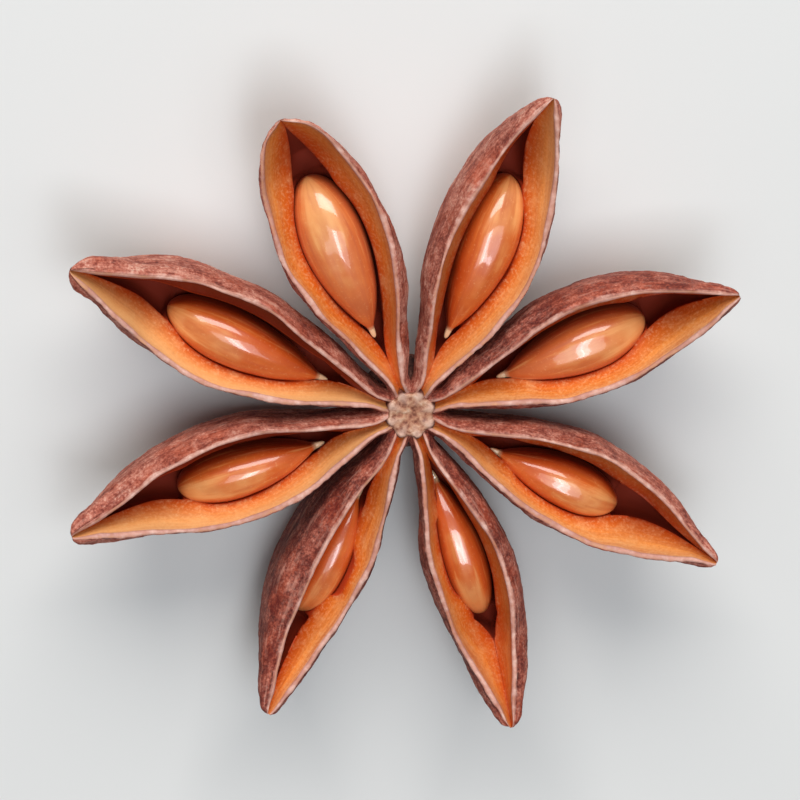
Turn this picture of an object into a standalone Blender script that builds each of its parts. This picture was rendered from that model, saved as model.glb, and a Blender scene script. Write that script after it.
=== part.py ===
"""Star anise pod: eight open, boat-shaped carpels fused round a short column, with a loose seed in each.

Metres, +Z up. The pod lies with its open side up, on small flat spots along its keels. The origin is at
the bottom centre of the whole. Every carpel is one loft in its own lengthways frame: out from the column,
side to the left and up from the lips.
"""

import math
from collections import namedtuple

import bmesh
import bpy
from mathutils import Vector

MM = 0.001

# Carpels, anticlockwise from the one nearest +X. Angles are in degrees and the rest in millimetres.
#   azimuth, length    direction from the column's axis, and reach of the beak from that axis
#   gape               distance between the outer edges of the lips where they stand widest apart
#   peak, taper        where that is, as a share of the length, and how soon they close towards the beak
#   wall, beak         greatest width of the outer walls, and half their width near the beak
#   depth              from the lips down to the keel at its deepest
#   roll, bow          lean of the keel to the left, and sideways swing of the middle to the left
#   seed_in, seed_out  distances of the seed's two ends from the column's axis
#   seed_wide          greatest width of the seed
#   seed_side          how far the loose seed lies to the left of the middle of its chamber
#   hollow             share of the beak that is hollow beyond the seed
Carpel = namedtuple(
    "Carpel",
    "azimuth length gape peak taper wall beak depth roll bow seed_in seed_out seed_wide seed_side hollow",
)
CARPELS = (
    Carpel(20.9, 18.2, 5.0, 0.57, 0.90, 6.0, 0.65, 7.9, 4.0, 0.0, 5.4, 13.2, 2.8, -0.35, 0.95),
    Carpel(67.1, 18.6, 5.1, 0.50, 0.80, 5.7, 0.75, 8.1, 9.0, -0.5, 4.7, 13.4, 2.8, -0.2, 0.70),
    Carpel(112.9, 17.6, 5.8, 0.60, 0.45, 6.2, 0.65, 8.0, -3.0, 0.0, 4.8, 13.5, 3.3, 0.2, 0.90),
    Carpel(154.3, 19.7, 5.2, 0.54, 1.00, 5.6, 0.90, 8.4, -4.0, 0.2, 5.1, 13.8, 2.7, 0.35, 0.95),
    Carpel(197.9, 18.7, 4.7, 0.51, 1.20, 5.2, 0.85, 8.1, -4.5, 0.2, 5.3, 12.8, 2.4, 0.35, 0.95),
    Carpel(244.4, 17.5, 3.1, 0.50, 0.80, 4.6, 0.75, 7.7, -15.0, 0.2, 5.6, 12.6, 2.1, 0.2, 0.90),
    Carpel(287.3, 17.5, 3.9, 0.55, 1.10, 4.9, 0.75, 7.8, 7.0, 0.35, 4.3, 12.1, 2.2, -0.3, 0.30),
    Carpel(333.7, 17.8, 4.8, 0.58, 1.10, 5.4, 0.65, 7.9, 2.5, 0.15, 5.4, 12.3, 2.4, -0.4, 0.95),
)

ROOT_OUT = 0.6 * MM  # where a carpel starts, inside the column
ROOT_SHARE = 0.45  # depth and width there, as shares of the greatest
ROLL_DONE = 0.40  # share of the length by which a carpel has leant over fully
TIP_RISE = 0.9 * MM  # how far the beak stands above the lips
TIP_RISE_FROM = 0.70  # share of the length
BEAK_LIP = 0.30 * MM  # half-width of the opening at the blunt beak
KEEL_FLAT = 0.28 * MM  # how much of the deepest keel is pressed flat by the table

# Each swell, ease and close is the power that bends a sine or cosine: above 1 it acts later or more sharply.
LIP_SWELL, LIP_EASE = 1.233, 1.2
WALL_PEAK = 0.53  # share of the length where the walls are widest
WALL_SWELL, WALL_CLOSE = 1.25, 1.1
KEEL_PEAK = 0.55  # share of the length where the keel is deepest
KEEL_SWELL, KEEL_CLOSE, SHOULDER_EASE = 1.15, 1.4, 1.3
BEAK_DEPTH_SHARE = 0.16  # depth of the beak as a share of the greatest
BEAK_END = 0.05  # share of the length over which the beak rounds off
BEAK_BLUNT = 0.2  # what is left of its size at the very end
KEEL_BLUNT = 0.8  # power of the outer section towards the keel, where 1 is a parabola
LIP_TURN = 0.25  # share of the depth over which the flank turns in to the lip

ROOT_LIP = 0.3 * MM  # half-thickness of a closed carpel at the column
LIP = 0.42 * MM  # thickness of the torn edge, and at most LIP_MOST of the half-width there
LIP_MOST = 0.45
LIP_ROUND = 0.10 * MM
LIP_ROUND_MOST = 0.08  # of the depth
BAND_DEPTH = 1.2 * MM  # from the lips down the smooth inner slope to the seed's chamber
BAND_MOST = 0.3  # of the depth
BAND_HOLLOW = 0.55  # share of the way in that the slope has gone halfway down
HOLLOW_SHARE = 0.42  # width of the hollow that runs on from the chamber, as a share of the opening
HOLLOW_IN = 2.0 * MM  # how far it runs from the seed towards the column
HOLLOW_DEPTH = 1.4 * MM  # of it below the slope, on top of the groove's
GROOVE_DEPTH = 0.5 * MM  # of the closed groove below the slope, down to at most GROOVE_MOST of the depth
GROOVE_MOST = 0.5
WALL = 0.42 * MM  # least thickness of a wall beside the chamber
RIM_SHARE = 0.66  # width of the chamber's mouth, as a share of the gape
RIM_SOFT = 0.15 * MM  # over which it changes from the seed's width to that share
CHAMBER_BLUNT = 2.5  # power of the chamber's section towards its floor
SEED_TOP = 0.65 * MM  # below the lips of a carpel that gapes by FULL_GAPE
FULL_GAPE = 5.0 * MM
SEED_SINK = 0.25  # how much deeper a seed lies for each millimetre that its carpel is less open
SEED_TALL = 3.9 * MM
SEED_TAPER = 1.2  # power that moves the seed's greatest girth outwards
SEED_BLUNT = 0.55  # power of its outline, where 0.5 is an ellipse
SEED_CLEAR = 0.38 * MM
SLIT = 0.10 * MM  # half-width of the closed groove beyond the chamber

COLUMN_R = 1.3 * MM
COLUMN_TOP = 6.9 * MM
COLUMN_DISH = 0.15 * MM  # how far the middle of the top is sunk
COLUMN_EDGE = 0.15 * MM  # bevel round the top
COLUMN_FOOT = 5.4 * MM  # where the column has widened out of the receptacle
RECEPTACLE_R = 2.5 * MM
RECEPTACLE_Z = 3.7 * MM  # of its widest ring
RECEPTACLE_TURN = 0.85 * MM  # from there up or down to where it is narrower
RECEPTACLE_NARROW = 0.8
STALK_R = 1.0 * MM
STALK_Z, STALK_TOP = 1.4 * MM, 2.3 * MM

NECK_STEPS, CHAMBER_RUN_STEPS, BEAK_STEPS = 4, 9, 5  # sections along a carpel, stretch by stretch
BEAK_CROWD = 1.4  # power that crowds the beak's sections towards its end
OUTER_STEPS = (0.0, 0.15, 0.40, 0.70, 0.97)  # shares of the depth, from the lip to near the keel
CHAMBER_STEPS = (0.0, 0.45, 0.80)  # shares of the way down the chamber
COLUMN_SIDES = 24
SEED_RINGS, SEED_SIDES = 10, 10


def smooth(x):
    """0 to 1 with level ends."""
    x = min(max(x, 0.0), 1.0)
    return x * x * (3 - 2 * x)


def lesser(a, b):
    """The smaller of two lengths, with a soft change from one to the other."""
    return (a + b - math.hypot(a - b, RIM_SOFT)) / 2


def lip_share(carpel, t):
    """How far the lips stand apart at a share t of the length, as a share of the gape."""
    if t < carpel.peak:
        return math.sin(math.pi / 2 * (t / carpel.peak) ** LIP_SWELL) ** LIP_EASE
    beyond = (t - carpel.peak) / (1 - carpel.peak)
    return max(math.cos(math.pi / 2 * beyond), 0.0) ** carpel.taper


def wall_share(t):
    """Width of the outer walls as a share of the greatest."""
    if t < WALL_PEAK:
        return math.sin(math.pi / 2 * (t / WALL_PEAK) ** WALL_SWELL)
    beyond = (t - WALL_PEAK) / (1 - WALL_PEAK)
    return max(math.cos(math.pi / 2 * beyond**WALL_CLOSE), 0.0)


def depth_share(t):
    """Depth of the keel below the lips as a share of the greatest: a shoulder, then a beak."""
    if t < KEEL_PEAK:
        return ROOT_SHARE + (1 - ROOT_SHARE) * math.sin(math.pi / 2 * (t / KEEL_PEAK) ** KEEL_SWELL)
    beyond = (t - KEEL_PEAK) / (1 - KEEL_PEAK)
    fall = max(math.cos(math.pi / 2 * beyond**KEEL_CLOSE), 0.0) ** SHOULDER_EASE
    return BEAK_DEPTH_SHARE + (1 - BEAK_DEPTH_SHARE) * fall


def beak_round(t):
    """1 along a carpel, falling to a small blunt end over its last stretch."""
    left = (1 - t) / BEAK_END
    return 1.0 if left >= 1 else math.sqrt(max(1 - (1 - left) ** 2, BEAK_BLUNT**2))


def seed_share(s):
    """Girth of a seed at a share s of its length: tapered inwards, rounded outwards."""
    if not 0.0 < s < 1.0:
        return 0.0
    q = s**SEED_TAPER
    return (4 * q * (1 - q)) ** SEED_BLUNT


def place(carpel, out, side, up):
    """The point that lies out along a carpel, side to its left and up from its lips."""
    t = out / (carpel.length * MM)
    roll = math.radians(carpel.roll)
    crest = carpel.depth * MM * math.cos(roll) - KEEL_FLAT
    lean = roll * smooth(t / ROLL_DONE)
    y = side * math.cos(lean) - up * math.sin(lean) + carpel.bow * MM * math.sin(math.pi * t)
    z = side * math.sin(lean) + up * math.cos(lean)
    z += COLUMN_TOP + (crest - COLUMN_TOP) * smooth(t / ROLL_DONE)
    z += TIP_RISE * smooth((t - TIP_RISE_FROM) / (1 - TIP_RISE_FROM))
    turn = math.radians(carpel.azimuth)
    x_out, y_out = math.cos(turn), math.sin(turn)
    return Vector((out * x_out - y * y_out, out * y_out + y * x_out, max(z, 0.0)))


def outer_width(half_lip, half_wall, h):
    """Half-width of the outside at a share h of the depth: lip, swelling flank, blunt keel."""
    wall = half_wall * max(1 - h * h, 0.0) ** KEEL_BLUNT
    if h < LIP_TURN:
        wall -= (half_wall - half_lip) * (1 - h / LIP_TURN) ** 2
    return wall


def body_size(carpel, t):
    """Half-widths at the lips and at the walls, and depth, at a share t of the length."""
    root = ROOT_LIP * (1 - t)
    end = beak_round(t)
    half_lip = max(carpel.gape / 2 * MM * lip_share(carpel, t), SLIT + root)
    half_lip = math.hypot(half_lip, BEAK_LIP * smooth(t)) * end
    half_wall = math.hypot(carpel.wall / 2 * wall_share(t), carpel.beak * smooth(t)) * MM * end
    return half_lip, max(half_wall, half_lip + root), carpel.depth * MM * depth_share(t) * end


def seed_middle(carpel):
    """Depth of the seed's middle below the lips."""
    return SEED_TOP + SEED_SINK * (FULL_GAPE - carpel.gape * MM) + SEED_TALL / 2


def chamber_ends(carpel):
    return carpel.seed_in * MM - SEED_CLEAR, carpel.seed_out * MM + SEED_CLEAR


def chamber_size(carpel, out):
    """Half-width and floor depth of the seed's chamber at a distance out along the carpel."""
    start, end = chamber_ends(carpel)
    if not start <= out <= end:
        return 0.0, 0.0
    girth = seed_share((out - start) / (end - start))
    half = (carpel.seed_wide / 2 * MM + SEED_CLEAR) * girth
    return half, seed_middle(carpel) + (SEED_TALL / 2 + SEED_CLEAR) * girth


def hollow_open(carpel, out):
    """How wide open the hollow at the seed's two ends is: 1 beside the seed, 0 where it has closed."""
    seed_in, seed_out = carpel.seed_in * MM, carpel.seed_out * MM
    reach = carpel.hollow * (carpel.length * MM - seed_out)
    return min(max(min((out - seed_in) / HOLLOW_IN, (seed_out - out) / reach) + 1, 0.0), 1.0)


def half_section(carpel, out, hand):
    """Points (side, up) down the outside and down the inside, on the left (hand 1) or right (-1)."""
    half_lip, half_wall, depth = body_size(carpel, out / (carpel.length * MM))
    outer = [(outer_width(half_lip, half_wall, h), -h * depth) for h in OUTER_STEPS]
    outer[0] = (half_lip, -min(LIP_ROUND, LIP_ROUND_MOST * depth))

    lip = min(LIP, LIP_MOST * half_lip)
    band = min(BAND_DEPTH, BAND_MOST * depth)
    half, floor = chamber_size(carpel, out)
    half += max(hand * carpel.seed_side, 0.0) * MM * min(half / SEED_CLEAR, 1.0)
    clear = hollow_open(carpel, out)
    half = max(half, HOLLOW_SHARE * half_lip * clear)
    floor = max(floor, min(band + GROOVE_DEPTH + HOLLOW_DEPTH * clear, GROOVE_MOST * depth))
    inner = [(half_lip - lip, 0.0)]
    for share in CHAMBER_STEPS:
        down = band + (floor - band) * share
        room = outer_width(half_lip, half_wall, down / depth) - WALL
        width = min(max(half, SLIT) * math.sqrt(1 - share**CHAMBER_BLUNT), room)
        if share == 0:
            width = lesser(width, RIM_SHARE * half_lip)
        inner.append((max(width, SLIT / 2), -down))
    (lip_side, _), (rim_side, _) = inner[:2]
    inner.insert(1, ((1 - BAND_HOLLOW) * lip_side + BAND_HOLLOW * rim_side, -band / 2))
    sides = [[(hand * side, up) for side, up in line] for line in (outer, inner)]
    return sides[0], sides[1], depth, floor


def section(carpel, out):
    """One closed loop of points round a carpel, from the keel up its left side and back down."""
    outer, inner, depth, floor = half_section(carpel, out, 1)
    right_outer, right_inner, _, _ = half_section(carpel, out, -1)
    left = outer[::-1] + inner
    right = right_inner[::-1] + right_outer
    loop = [(0.0, -depth)] + left + [(0.0, -floor)] + right
    return [place(carpel, out, side, up) for side, up in loop]


def loft(mesh, rings):
    """Joins closed rings of points into an open-ended tube and returns its two end rings."""
    rows = [[mesh.verts.new(point) for point in ring] for ring in rings]
    for one, two in zip(rows, rows[1:]):
        for i in range(len(one)):
            j = (i + 1) % len(one)
            mesh.faces.new((one[i], one[j], two[j], two[i]))
    return rows[0], rows[-1]


def close_trough(mesh, ring):
    """Fills the U-shaped end of a carpel with strips between its outside and its inside."""
    steps = (len(ring) - 2) // 4
    for turn in (1, -1):
        for i in range(steps):
            corners = (i, i + 1, 2 * steps - i, 2 * steps + 1 - i)
            mesh.faces.new([ring[turn * corner] for corner in corners])


def finished(name, mesh, material):
    """Turns a bmesh into a smooth-shaded object with its faces pointing out."""
    bmesh.ops.triangulate(mesh, faces=mesh.faces[:])
    bmesh.ops.recalc_face_normals(mesh, faces=mesh.faces[:])
    data = bpy.data.meshes.new(name)
    mesh.to_mesh(data)
    mesh.free()
    data.materials.append(material)
    data.shade_smooth()
    thing = bpy.data.objects.new(name, data)
    bpy.context.scene.collection.objects.link(thing)
    return thing


def stations(carpel):
    """Distances out at which a carpel's sections are taken, closer together where it turns quickly."""
    start, end = chamber_ends(carpel)
    length = carpel.length * MM
    neck = [i / NECK_STEPS for i in range(NECK_STEPS)]
    chamber = [0.5 - 0.5 * math.cos(math.pi * i / CHAMBER_RUN_STEPS) for i in range(CHAMBER_RUN_STEPS)]
    beak = [1 - (1 - i / BEAK_STEPS) ** BEAK_CROWD for i in range(BEAK_STEPS + 1)]
    return (
        [ROOT_OUT + (start - ROOT_OUT) * share for share in neck]
        + [start + (end - start) * share for share in chamber]
        + [end + (length - end) * share for share in beak]
    )


def carpel_solid(name, carpel, material):
    mesh = bmesh.new()
    for end in loft(mesh, [section(carpel, out) for out in stations(carpel)]):
        close_trough(mesh, end)
    return finished(name, mesh, material)


def column_solid(name, material):
    """The turned middle: a dished top, the waist that the carpels grow from, and the stalk's stub."""
    narrow = RECEPTACLE_R * RECEPTACLE_NARROW
    profile = (
        (0.0, STALK_Z),
        (STALK_R, STALK_Z),
        (STALK_R, STALK_TOP),
        (narrow, RECEPTACLE_Z - RECEPTACLE_TURN),
        (RECEPTACLE_R, RECEPTACLE_Z),
        (narrow, RECEPTACLE_Z + RECEPTACLE_TURN),
        (COLUMN_R, COLUMN_FOOT),
        (COLUMN_R, COLUMN_TOP - COLUMN_EDGE),
        (COLUMN_R - COLUMN_EDGE, COLUMN_TOP),
        (0.0, COLUMN_TOP - COLUMN_DISH),
    )
    mesh = bmesh.new()
    points = [mesh.verts.new((r, 0.0, z)) for r, z in profile]
    edges = [mesh.edges.new(pair) for pair in zip(points, points[1:])]
    bmesh.ops.spin(
        mesh,
        geom=points + edges,
        axis=(0, 0, 1),
        cent=(0, 0, 0),
        angle=2 * math.pi,
        steps=COLUMN_SIDES,
    )
    bmesh.ops.remove_doubles(mesh, verts=mesh.verts[:], dist=1e-6)
    return finished(name, mesh, material)


def husk(material):
    """Unites the column and the carpels into one closed solid."""
    pod = column_solid("pod", material)
    for number, carpel in enumerate(CARPELS, 1):
        piece = carpel_solid(f"carpel_{number}", carpel, material)
        piece.hide_render = True
        piece.display_type = "WIRE"
        union = pod.modifiers.new(piece.name, "BOOLEAN")
        union.operation = "UNION"
        union.solver = "EXACT"
        union.object = piece
    return pod


def seed_solid(name, carpel, material):
    start, end = carpel.seed_in * MM, carpel.seed_out * MM
    middle = seed_middle(carpel)
    mesh = bmesh.new()
    rings = []
    for i in range(SEED_RINGS):
        share = 0.5 - 0.5 * math.cos(math.pi * (0.5 + i) / SEED_RINGS)
        out = start + (end - start) * share
        girth = seed_share(share)
        ring = []
        for j in range(SEED_SIDES):
            turn = 2 * math.pi * j / SEED_SIDES
            side = (carpel.seed_side + carpel.seed_wide / 2 * girth * math.cos(turn)) * MM
            up = SEED_TALL / 2 * girth * math.sin(turn) - middle
            ring.append(place(carpel, out, side, up))
        rings.append(ring)
    for end in loft(mesh, rings):
        mesh.faces.new(end)
    return finished(name, mesh, material)


def plain_material(name, colour, roughness):
    material = bpy.data.materials.new(name)
    material.use_nodes = True
    shader = material.node_tree.nodes["Principled BSDF"]
    shader.inputs["Base Color"].default_value = (*colour, 1.0)
    shader.inputs["Roughness"].default_value = roughness
    shader.inputs["Metallic"].default_value = 0.0
    material.diffuse_color = (*colour, 1.0)
    return material


def stand_at_origin(things):
    """Moves everything so that the origin is at the bottom centre of the whole."""
    bpy.context.view_layer.update()
    graph = bpy.context.evaluated_depsgraph_get()
    points = []
    for thing in things:
        points += [v.co.copy() for v in thing.evaluated_get(graph).data.vertices]
    low = [min(p[i] for p in points) for i in range(3)]
    high = [max(p[i] for p in points) for i in range(3)]
    shift = Vector((-(low[0] + high[0]) / 2, -(low[1] + high[1]) / 2, -low[2]))
    for thing in bpy.data.objects:
        thing.location = shift


def main():
    for thing in list(bpy.data.objects):
        bpy.data.objects.remove(thing, do_unlink=True)
    husk_material = plain_material("husk", (0.24, 0.09, 0.055), 0.62)
    seed_material = plain_material("seed", (0.36, 0.13, 0.045), 0.18)
    things = [husk(husk_material)]
    for number, carpel in enumerate(CARPELS, 1):
        things.append(seed_solid(f"seed_{number}", carpel, seed_material))
    stand_at_origin(things)


main()
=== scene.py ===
"""Looks of the star anise pod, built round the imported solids: wrinkled husk, torn lips, polished seeds."""

import math
from collections import namedtuple

import bpy
import numpy as np
from mathutils import Matrix, Vector, noise


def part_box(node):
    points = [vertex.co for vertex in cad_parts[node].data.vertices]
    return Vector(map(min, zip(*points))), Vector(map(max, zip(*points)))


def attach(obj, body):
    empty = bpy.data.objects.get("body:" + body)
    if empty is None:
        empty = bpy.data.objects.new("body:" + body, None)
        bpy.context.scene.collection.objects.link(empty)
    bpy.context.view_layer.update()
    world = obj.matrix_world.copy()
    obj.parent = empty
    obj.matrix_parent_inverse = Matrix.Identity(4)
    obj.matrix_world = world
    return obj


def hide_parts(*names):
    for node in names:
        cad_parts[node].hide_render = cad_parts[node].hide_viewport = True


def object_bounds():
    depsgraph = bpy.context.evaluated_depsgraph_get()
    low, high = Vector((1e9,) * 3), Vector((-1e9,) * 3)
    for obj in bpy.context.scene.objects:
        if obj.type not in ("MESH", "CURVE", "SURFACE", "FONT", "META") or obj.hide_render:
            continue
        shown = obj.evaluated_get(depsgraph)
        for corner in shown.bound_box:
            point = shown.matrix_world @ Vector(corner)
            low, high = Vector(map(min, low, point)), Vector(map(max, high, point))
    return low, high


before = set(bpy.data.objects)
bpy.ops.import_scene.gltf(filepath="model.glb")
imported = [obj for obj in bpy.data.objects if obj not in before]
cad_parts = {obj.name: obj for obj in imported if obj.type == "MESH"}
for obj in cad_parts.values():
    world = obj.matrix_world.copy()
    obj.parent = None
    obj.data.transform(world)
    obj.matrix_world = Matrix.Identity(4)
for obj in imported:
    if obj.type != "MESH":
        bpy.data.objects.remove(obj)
cad_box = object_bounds()

MM = 0.001

# ---------------------------------------------------------------- the pod's driving sizes, as in the part
# Carpels, anticlockwise from the one nearest +X. Angles are in degrees and the rest in millimetres.
#   azimuth, length    direction from the column's axis, and reach of the beak from that axis
#   gape               distance between the outer edges of the lips where they stand widest apart
#   peak, taper        where that is, as a share of the length, and how soon they close towards the beak
#   wall, beak         greatest width of the outer walls, and half their width near the beak
#   depth              from the lips down to the keel at its deepest
#   roll, bow          lean of the keel to the left, and sideways swing of the middle to the left
#   seed_in, seed_out  distances of the seed's two ends from the column's axis
#   seed_wide          greatest width of the seed
#   seed_side          how far the loose seed lies to the left of the middle of its chamber
#   hollow             share of the beak that is hollow beyond the seed
Carpel = namedtuple(
    "Carpel",
    "azimuth length gape peak taper wall beak depth roll bow seed_in seed_out seed_wide seed_side hollow",
)
CARPELS = (
    Carpel(20.9, 18.2, 5.0, 0.57, 0.90, 6.0, 0.65, 7.9, 4.0, 0.0, 5.4, 13.2, 2.8, -0.35, 0.95),
    Carpel(67.1, 18.6, 5.1, 0.50, 0.80, 5.7, 0.75, 8.1, 9.0, -0.5, 4.7, 13.4, 2.8, -0.2, 0.70),
    Carpel(112.9, 17.6, 5.8, 0.60, 0.45, 6.2, 0.65, 8.0, -3.0, 0.0, 4.8, 13.5, 3.3, 0.2, 0.90),
    Carpel(154.3, 19.7, 5.2, 0.54, 1.00, 5.6, 0.90, 8.4, -4.0, 0.2, 5.1, 13.8, 2.7, 0.35, 0.95),
    Carpel(197.9, 18.7, 4.7, 0.51, 1.20, 5.2, 0.85, 8.1, -4.5, 0.2, 5.3, 12.8, 2.4, 0.35, 0.95),
    Carpel(244.4, 17.5, 3.1, 0.50, 0.80, 4.6, 0.75, 7.7, -15.0, 0.2, 5.6, 12.6, 2.1, 0.2, 0.90),
    Carpel(287.3, 17.5, 3.9, 0.55, 1.10, 4.9, 0.75, 7.8, 7.0, 0.35, 4.3, 12.1, 2.2, -0.3, 0.30),
    Carpel(333.7, 17.8, 4.8, 0.58, 1.10, 5.4, 0.65, 7.9, 2.5, 0.15, 5.4, 12.3, 2.4, -0.4, 0.95),
)

ROOT_OUT = 0.6 * MM  # where a carpel starts, inside the column
ROOT_SHARE = 0.45  # depth there, as a share of the greatest
ROLL_DONE = 0.40  # share of the length by which a carpel has leant over fully
TIP_RISE = 0.9 * MM  # how far the beak stands above the lips
TIP_RISE_FROM = 0.70  # share of the length
BEAK_LIP = 0.30 * MM  # half-width of the opening at the blunt beak
KEEL_FLAT = 0.28 * MM  # how much of the deepest keel is pressed flat by the table

# Each swell, ease and close is a power that bends a sine or cosine: above 1 it acts later or more sharply.
LIP_SWELL, LIP_EASE = 1.233, 1.2
WALL_PEAK = 0.53  # share of the length where the walls are widest
WALL_SWELL, WALL_CLOSE = 1.25, 1.1
KEEL_PEAK = 0.55  # share of the length where the keel is deepest
KEEL_SWELL, KEEL_CLOSE, SHOULDER_EASE = 1.15, 1.4, 1.3
BEAK_DEPTH_SHARE = 0.16  # depth of the beak as a share of the greatest
BEAK_END = 0.05  # share of the length over which the beak rounds off
BEAK_BLUNT = 0.2  # what is left of its size at the very end
KEEL_BLUNT = 0.8  # power of the outer section towards the keel, where 1 is a parabola
LIP_TURN = 0.25  # share of the depth over which the flank turns in to the lip

ROOT_LIP = 0.3 * MM  # half-thickness of a closed carpel at the column
LIP_MOST = 0.45  # of the half-width there: the most that the torn edge's thickness may be
HOLLOW_SHARE = 0.42  # width of the hollow that runs on from the chamber, as a share of the opening
HOLLOW_IN = 2.0 * MM  # how far it runs from the seed towards the column
WALL = 0.42 * MM  # least thickness of a wall beside the chamber
RIM_SOFT = 0.15 * MM  # over which the chamber's mouth changes from one width to another
CHAMBER_BLUNT = 2.5  # power of the chamber's section towards its floor
SEED_TOP = 0.65 * MM  # below the lips of a carpel that gapes by FULL_GAPE
FULL_GAPE = 5.0 * MM
SEED_SINK = 0.25  # how much deeper a seed lies for each millimetre that its carpel is less open
SEED_TALL = 3.9 * MM
SEED_TAPER = 1.2  # power that moves the solid seed's greatest girth outwards
SEED_BLUNT = 0.55  # power of its outline, where 0.5 is an ellipse
SEED_CLEAR = 0.38 * MM  # from the solid seed to its chamber
SLIT = 0.10 * MM  # half-width of the closed groove beyond the chamber
SOLID_SEED_STEPS = 10  # rings along the solid seed, and sides round it

COLUMN_R = 1.3 * MM
COLUMN_TOP = 6.9 * MM
COLUMN_DISH = 0.15 * MM  # how far the middle of the top is sunk
COLUMN_EDGE = 0.15 * MM  # bevel round the top
COLUMN_FOOT = 5.4 * MM  # where the column has widened out of the receptacle
RECEPTACLE_R = 2.5 * MM
RECEPTACLE_Z = 3.7 * MM  # of its widest ring
RECEPTACLE_TURN = 0.85 * MM  # from there up or down to where it is narrower
RECEPTACLE_NARROW = 0.8
STALK_R = 1.0 * MM
STALK_Z, STALK_TOP = 1.4 * MM, 2.3 * MM

# ---------------------------------------------------------------- forms of the looks
# Fineness: points round half a carpel's section, its sections from root to beak, and those of the rest.
FLANK_POINTS, LIP_POINTS, VALLEY_POINTS, POCKET_POINTS = 52, 14, 16, 22
NECK_SECTIONS, CHAMBER_SECTIONS, BEAK_SECTIONS = 48, 122, 60
BEAK_CROWD = 1.4  # power that crowds the beak's sections towards its end
SEED_RINGS, SEED_SIDES, NUB_RINGS = 90, 72, 12
COLUMN_STEP, COLUMN_SIDES = 0.05 * MM, 192

# Waves along a carpel: height, length, and the step in noise that makes each kind its own.
LIP_WAVE = 0.07 * MM, 3.0 * MM, 1.0  # sideways
WALL_WAVE = 0.14 * MM, 3.4 * MM, 0.5
THICKNESS_WAVE = 0.16, 1.6 * MM, 2.0  # of the torn edge, as a share of LIP
CREST_WAVE = 0.08 * MM, 2.2 * MM, 3.0  # up and down
CREST_TEAR = 0.01 * MM, 0.5 * MM, 4.0
WAVES_IN, WAVES_OUT = 0.25, 0.12  # shares of the length over which they grow from root and tip

LIP = 0.27 * MM  # thickness of the torn edge, which varies round LIP_USUAL of it
LIP_USUAL = 0.92
CREST_FADE = 0.3  # share of the depth down which the flank follows the crest's ups and downs
CREST_SINK = 0.40 * MM  # how far the lips sink at the column
SINK_FROM, SINK_RUN = 1.7 * MM, 0.9 * MM  # where that starts, going inwards, and over what length
EDGE_REACH = 0.20 * MM  # how far the torn edge's colour runs down the flank
EDGE_FADE = 8  # that colour also ends 1 / EDGE_FADE of the way down the valley
SKIN_FADE = 1.6  # the skin's colour ends 1 / SKIN_FADE of the way over the lip

VALLEY_DEPTH = 2.4 * MM  # of the smooth valley between the lips, if the pocket weren't sunk in it
VALLEY_SHARE = 0.60  # its depth beyond the pocket, as a share of the carpel's
VALLEY_STEEP = 1.7  # and at most as a share of the half-width there, on top of VALLEY_LEAST
VALLEY_LEAST = 0.15 * MM
VALLEY_IN, VALLEY_OUT = 1.6 * MM, 1.8 * MM  # how far past the chamber's two ends one changes to the other
VALLEY_CHANGE = 3.0 * MM  # over what length
VALLEY_ROUND = 1.45  # power of its section, where 1 is a V and 2 an ellipse
VALLEY_SQUARER = 1.1  # what is added to it on the side that the seed leans away from
LEANS, LEANS_SOFT = 0.30, 0.04  # millimetres off the middle from which a seed counts as leaning

HOLLOW_SINK = 2.0 * MM  # depth of the hollow below its mouth
HOLLOW_SOFT = 0.24 * MM  # over which the mouth's width changes from the pocket's to the hollow's
UNDERCUT = 0.5 * MM  # how much wider the hollow is below its mouth
UNDERCUT_FROM = 0.10  # share of the way down by which its wall has left the mouth's edge
RIM_CLEAR, SNUG_CLEAR = 0.07 * MM, 0.02 * MM  # from the seed to the pocket's mouth, and to its wall
BESIDE = 0.35 * MM  # half-width from which the seed counts in full for the pocket beside it
LEE = 0.35  # share of the seed's lean that the mouth follows on the side it leans away from
MOUTH_MOST = 0.86  # of the half-width between the lips
FIRST_RIM = 0.6  # first guess at the mouth's depth, as a share of the valley's
RIM_ROUNDS = 3
FURROW = 0.01 * MM  # half-width of the closed furrow at the bottom
# Shares of fully open at which a hollow has its full mouth, its darker colour that is partly painted shade,
# its undercut and its depth.
MOUTH_BY, COLOUR_BY, UNDERCUT_BY, SINK_BY = 0.05, 0.15, 0.2, 0.35

SEED_PLUMP = 0.05 * MM  # how much fuller a seed is than its plain solid
SEED_FLAT = 2.9  # power of its cross-section, where 2 is an ellipse
SEED_ENDS = 0.85  # power that keeps it tall towards its ends
SEED_TILT = 0.08  # slope of its axis, whose outer end is the lower
SEED_SLANT = 1.4  # power that moves its greatest girth outwards
SEED_END_GAP = 0.35  # how near its end rings are to its ends, in steps between rings
RIDGE, RIDGE_AT, RIDGE_WIDE = 0.05 * MM, math.radians(97), math.radians(11)  # the low ridge on its top
DENT, DENT_SIZE = 0.035 * MM, 2.2 * MM
NUB_LENGTH, NUB_R = 0.5 * MM, 0.17 * MM  # the stub by which a seed hangs at its inner end
NUB_TAPER, NUB_CLOSE = 0.3, 0.99

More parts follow.
